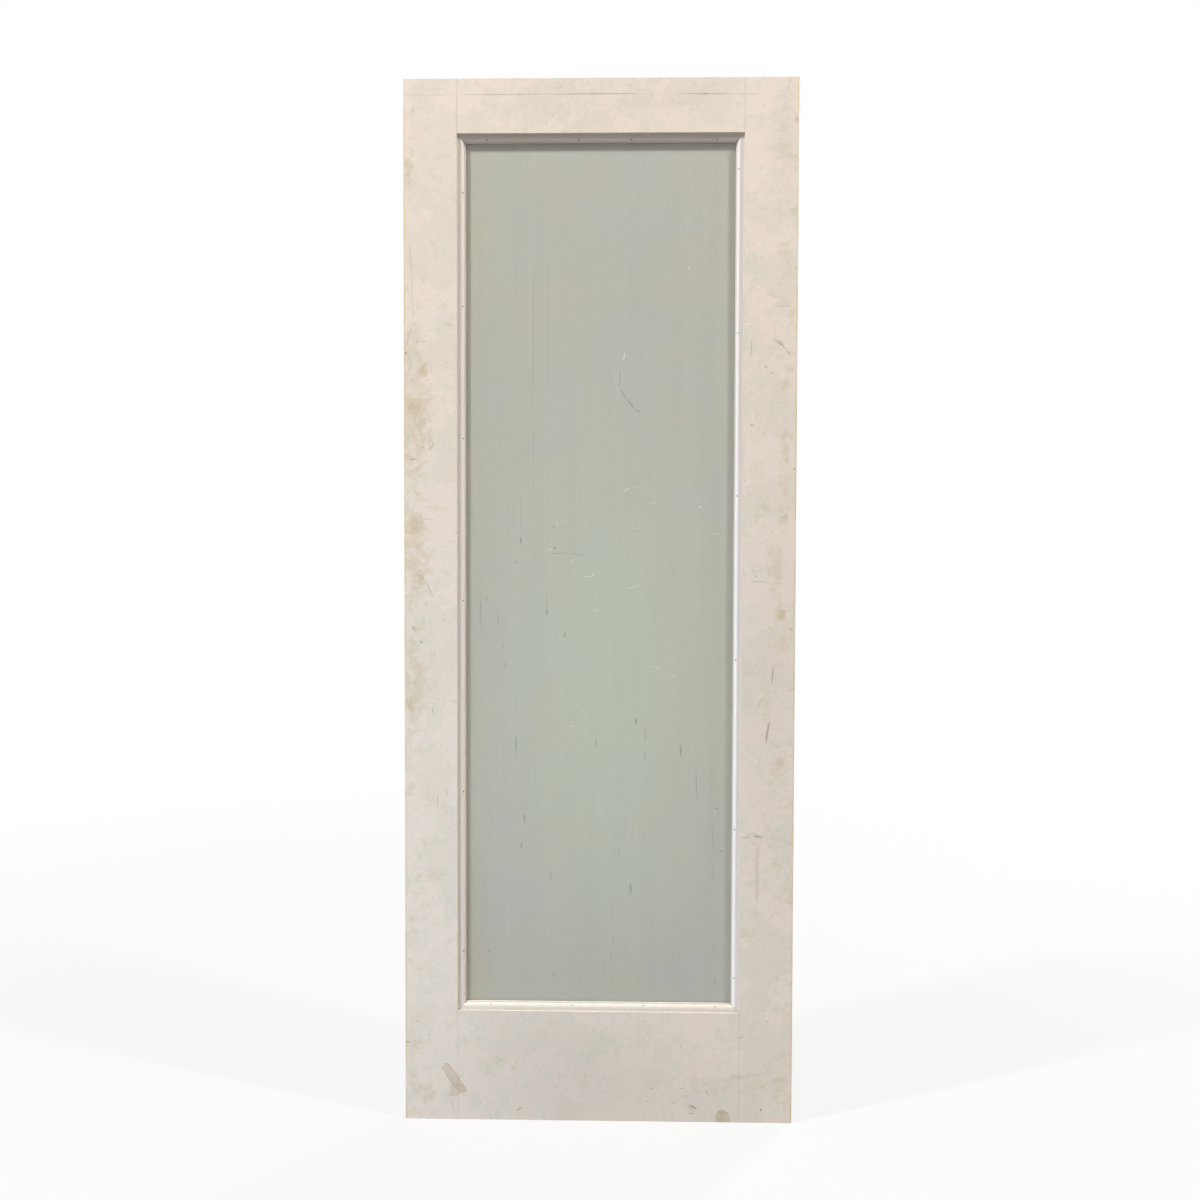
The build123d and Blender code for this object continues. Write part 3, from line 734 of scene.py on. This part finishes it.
marksBehind = scatterMarks()
for member in ("left_stile", "right_stile", "top_rail", "bottom_rail"):
    dress([member + "_front_skin"], primedMdf(member + "_front_skin", frontMarks))
    dress([member + "_back_skin"], primedMdf(member + "_back_skin", marksBehind))
    dress([member + "_core"], rawPine(member + "_core"))
for direction, sides in (("upright", ("left", "right")), ("level", ("top", "bottom"))):
    stops = [f"{face}_stop_{side}" for face in ("front", "back") for side in sides]
    dress(stops, primedPine(direction))
for side in ("left", "right"):
    dress([side + "_stile_edge_band"], primedLipping(side + "_stile_edge_band"))
dress(["glass_pane"], satinGlass())
dress([name for name in nodes if "_tape_" in name], foamTape())
print("finished the surfaces of the timber, the glass and the tape")


brads = {
    "top": (161, 339, 440, 606), "bottom": (170, 330, 470, 612),
    "left": (334, 651, 1027, 1343, 1598, 1817), "right": (285, 580, 913, 1232, 1547, 1860),
    # they go in at 45 degrees, square to the middle of the ovolo, which is as far from the
    # opening's side as from the middle of the leaf's thickness
    "inset": 10.74,
    "pinRadius": 1.3, "rimRadius": 2.3, "rimHeight": 0.16,
    "paint": "#EFE6DA", "paintShade": "#D3C9BB", "wrinkle": 0.6,
    # the brad heads' colours are painted shade in their set holes over dirty steel
    "pinInShade": "#3B3630", "pinDirtInShade": "#4F4A43", "dirtSize": 0.5, "bumpDepth": 0.05,
}


# Turns an outline, as (radius, height) pairs, about an axis. It starts and ends on the axis,
# or else it is closed into a ring
def latheInto(mesh, outline, place, axis, sides=20):
    across = axis.orthogonal().normalized()
    other = axis.cross(across)
    rings = []
    for radius, height in outline:
        if radius == 0:
            rings.append([mesh.verts.new(place + axis * height)])
            continue
        ring = []
        for i in range(sides):
            turn = 2 * math.pi * i / sides
            ring.append(mesh.verts.new(
                place + axis * height + (across * math.cos(turn) + other * math.sin(turn)) * radius))
        rings.append(ring)
    loops = list(zip(rings, rings[1:]))
    if outline[0][0] > 0:
        loops.append((rings[-1], rings[0]))
    for low, high in loops:
        for i in range(sides):
            j = (i + 1) % sides
            corners = [low[i % len(low)], low[j % len(low)], high[j % len(high)], high[i % len(high)]]
            mesh.faces.new(list(dict.fromkeys(corners)))


def meshPiece(name, mesh, material):
    bmesh.ops.recalc_face_normals(mesh, faces=mesh.faces)
    bmesh.ops.scale(mesh, vec=(0.001, 0.001, 0.001), verts=mesh.verts)
    data = bpy.data.meshes.new(name)
    mesh.to_mesh(data)
    mesh.free()
    data.shade_smooth()
    data.materials.append(material)
    piece = bpy.data.objects.new(name, data)
    bpy.context.collection.objects.link(piece)
    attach(piece, "root")


# Every brad of one face of the door: where it is and which way it points
def bradPlaces(face):
    y = face * brads["inset"]
    places = []
    for side, inwards in (("left", 1), ("right", -1)):
        x = opening[side] + inwards * brads["inset"]
        axis = Vector((inwards, face, 0)).normalized()
        places += [(Vector((x, y, z)), axis) for z in brads[side]]
    for side, inwards in (("bottom", 1), ("top", -1)):
        z = opening[side] + inwards * brads["inset"]
        axis = Vector((0, face, inwards)).normalized()
        places += [(Vector((x, y, z)), axis) for x in brads[side]]
    return places


# Primer lifted in a ring where the brad gun's foot bore on it
def raisedPrimer():
    material, tree = startMaterial("primer raised round brads")
    point = placeOnDoor(tree)
    wrinkles = addNode(tree, "TexNoise", {"Vector": point, "Scale": 1 / brads["wrinkle"], "Detail": 3})
    colour = addNode(tree, "Mix", {
        0: addNode(tree, "MapRange", {"Value": wrinkles, "From Min": 0.35, "From Max": 0.75}),
        1: linear(brads["paint"]), 2: linear(brads["paintShade"])}, data_type="RGBA")
    bump = addNode(tree, "Bump", {
        "Height": wrinkles, "Distance": brads["bumpDepth"] / 1000, "Strength": 0.8})
    shader = addNode(tree, "BsdfPrincipled", {
        "Base Color": colour, "Roughness": 0.45, "IOR": 1.5, "Normal": bump})
    return finishMaterial(material, shader)


# Galvanised brad heads, set below the film and dulled by the dirt that filled the hole, and painted dark
# as the shade in the hole
def shadedDirtyBradHead():
    material, tree = startMaterial("dirty galvanised brad heads in painted shade")
    point = placeOnDoor(tree)
    dirt = addNode(tree, "TexNoise", {"Vector": point, "Scale": 1 / brads["dirtSize"], "Detail": 3})
    colour = addNode(tree, "Mix", {
        0: addNode(tree, "MapRange", {"Value": dirt, "From Min": 0.3, "From Max": 0.7}),
        1: linear(brads["pinInShade"]), 2: linear(brads["pinDirtInShade"])}, data_type="RGBA")
    bump = addNode(tree, "Bump", {"Height": dirt, "Distance": brads["bumpDepth"] / 1000})
    shader = addNode(tree, "BsdfPrincipled", {
        "Base Color": colour, "Metallic": 0.3, "Roughness": 0.65, "Normal": bump})
    return finishMaterial(material, shader)


pinRadius, rimRadius, rimHeight = brads["pinRadius"], brads["rimRadius"], brads["rimHeight"]
rimOutline = [
    (pinRadius - 0.1, -0.35), (pinRadius - 0.02, 0.06), (pinRadius + 0.15, rimHeight),
    (pinRadius + 0.45, rimHeight - 0.05), (rimRadius - 0.1, -0.12), (rimRadius, -0.4),
]
pinOutline = [
    (0, -0.5), (pinRadius - 0.05, -0.5), (pinRadius - 0.05, 0.03), (pinRadius * 0.5, 0.0), (0, -0.02),
]
raised, head = raisedPrimer(), shadedDirtyBradHead()
for faceName, face in (("front", -1), ("back", 1)):
    rims, pins = bmesh.new(), bmesh.new()
    for place, axis in bradPlaces(face):
        latheInto(rims, rimOutline, place, axis)
        latheInto(pins, pinOutline, place, axis)
    meshPiece(faceName + "BradRims", rims, raised)
    meshPiece(faceName + "BradHeads", pins, head)
print("set", 2 * len(bradPlaces(-1)), "brads in the stops")


studio = {
    # the surround's glows: which way each lies, the cosine where it begins, its colour, and
    # its strength in the middle, where 1 is white
    "glows": [
        {"towards": (0, 0, 1), "begins": 0, "colour": "#FFE1B3", "strength": 0.23},
        {"towards": (0, 1, 0), "begins": 0, "colour": "#FFF0DC", "strength": 0.2},
        {"towards": (-1, 0, 0), "begins": 0.6, "colour": "#DAECFC", "strength": 0.8},
        {"towards": (1, 0, 0), "begins": 0.6, "colour": "#FFE0BF", "strength": 0.6},
    ],
    # the floor shows in the first colour, fading to white as the glow grows outwards, and
    # throws light back in the second
    "floor": "#C8C8C8", "floorUnseen": "#95908A", "floorGlow": 0.8, "fade": (0.4, 4.0), "floorSize": 24,
    # each lamp's share of the light on the face that it is aimed at, where 1 shows a colour
    # as written, with its place, aim and size in metres
    "lamps": [
        {"name": "warmKey", "place": (-2.6, -1.72, 5.27), "aim": (0.05, 0, 1.95), "size": 0.34,
         "share": 0.455, "colour": "#FFFCF9", "spread": 180},
        {"name": "rightFill", "place": (3.9, -1.72, 5.27), "aim": (0.38, 0, 1.95), "size": 0.34,
         "share": 0.29, "colour": "#FFFEF9", "spread": 180},
        {"name": "coolLow", "place": (-2.2, -2.2, 0.6), "aim": (0.35, 0, 0.2), "size": 1.2,
         "share": 0.048, "colour": "#CAE5FF", "spread": 75},
        {"name": "backKey", "place": (3.0, 3.6, 2.9), "aim": (0.38, 0, 1.1), "size": 0.6,
         "share": 0.5, "colour": "#F4F7FF", "spread": 180},
    ],
}


def lightSurround():
    world = bpy.data.worlds.new("studio surround")
    bpy.context.scene.world = world
    world.use_nodes = True
    tree = world.node_tree
    tree.nodes.clear()
    direction = addNode(tree, "TexCoord").outputs["Generated"]
    total = (0, 0, 0)
    for glow in studio["glows"]:
        facing = addNode(tree, "VectorMath", {0: direction, 1: glow["towards"]}, operation="DOT_PRODUCT")
        strength = addNode(tree, "MapRange", {
            "Value": facing.outputs["Value"], "From Min": glow["begins"], "To Max": glow["strength"]})
        total = addNode(tree, "VectorMath", {
            0: linear(glow["colour"])[:3], 1: strength, 2: total}, operation="MULTIPLY_ADD")
    lighting = addNode(tree, "Background", {"Color": total, "Strength": 1.0})
    white = addNode(tree, "Background", {"Color": (1, 1, 1, 1), "Strength": 1.0})
    shader = addNode(tree, "MixShader", {0: seenDirectly(tree), 1: lighting, 2: white})
    addNode(tree, "OutputWorld", {"Surface": shader})


# 1 for the camera, a reflection or a look through glass, and 0 for the light that is thrown
def seenDirectly(tree):
    path = addNode(tree, "LightPath")
    seen = addNode(tree, "Math", {
        0: path.outputs["Is Camera Ray"], 1: path.outputs["Is Glossy Ray"]}, operation="MAXIMUM")
    return addNode(tree, "Math", {0: seen, 1: path.outputs["Is Transmission Ray"]}, operation="MAXIMUM")


def layFloor():
    size = studio["floorSize"] / 2
    data = bpy.data.meshes.new("studioFloor")
    corners = [(-size, -size, 0), (size, -size, 0), (size, size, 0), (-size, size, 0)]
    data.from_pydata(corners, [], [(0, 1, 2, 3)])
    floor = bpy.data.objects.new("studioFloor", data)
    floor.location = (leafWidth / 2000, 0, -0.0005)
    bpy.context.collection.objects.link(floor)
    material, tree = startMaterial("pale paper floor")
    spot = addNode(tree, "TexCoord").outputs["Object"]
    away = addNode(tree, "VectorMath", {0: spot}, operation="LENGTH").outputs["Value"]
    begins, full = studio["fade"]
    glow = addNode(tree, "MapRange", {
        "Value": away, "From Min": begins, "From Max": full,
        "To Min": studio["floorGlow"], "To Max": 1.0}, interpolation_type="SMOOTHSTEP")
    paper = addNode(tree, "BsdfDiffuse", {"Color": linear(studio["floor"])})
    white = addNode(tree, "Emission", {"Color": (1, 1, 1, 1), "Strength": 1.0})
    shown = addNode(tree, "MixShader", {0: glow, 1: paper, 2: white})
    unseen = addNode(tree, "BsdfDiffuse", {"Color": linear(studio["floorUnseen"])})
    finishMaterial(material, addNode(tree, "MixShader", {0: seenDirectly(tree), 1: unseen, 2: shown}))
    data.materials.append(material)


def hangLamp(lamp):
    place, aim = Vector(lamp["place"]), Vector(lamp["aim"])
    beam = aim - place
    slant = abs(beam.normalized().y)        # the front and the back look along -Y and +Y
    data = bpy.data.lights.new(lamp["name"], "AREA")
    data.shape = "DISK"
    data.size = lamp["size"]
    data.spread = math.radians(lamp["spread"])
    data.color = linear(lamp["colour"])[:3]
    data.energy = lamp["share"] * (math.pi * beam.length) ** 2 / slant
    light = bpy.data.objects.new(lamp["name"], data)
    light.location = place
    light.rotation_euler = beam.to_track_quat("-Z", "Y").to_euler()
    bpy.context.collection.objects.link(light)


lightSurround()
layFloor()
for lamp in studio["lamps"]:
    hangLamp(lamp)
print("lit the studio with", len(studio["lamps"]), "lamps")


camera = {"place": (0.4387, -2.5115, 1.1177), "turn": (87.97, -0.158, 1.297), "lens": 38.46}
data = bpy.data.cameras.new("photoView")
data.lens = camera["lens"]
data.sensor_width = 36
view = bpy.data.objects.new("photoView", data)
view.location = camera["place"]
view.rotation_euler = [math.radians(angle) for angle in camera["turn"]]
bpy.context.collection.objects.link(view)
bpy.context.scene.camera = view
bpy.context.scene.view_settings.view_transform = "Standard"
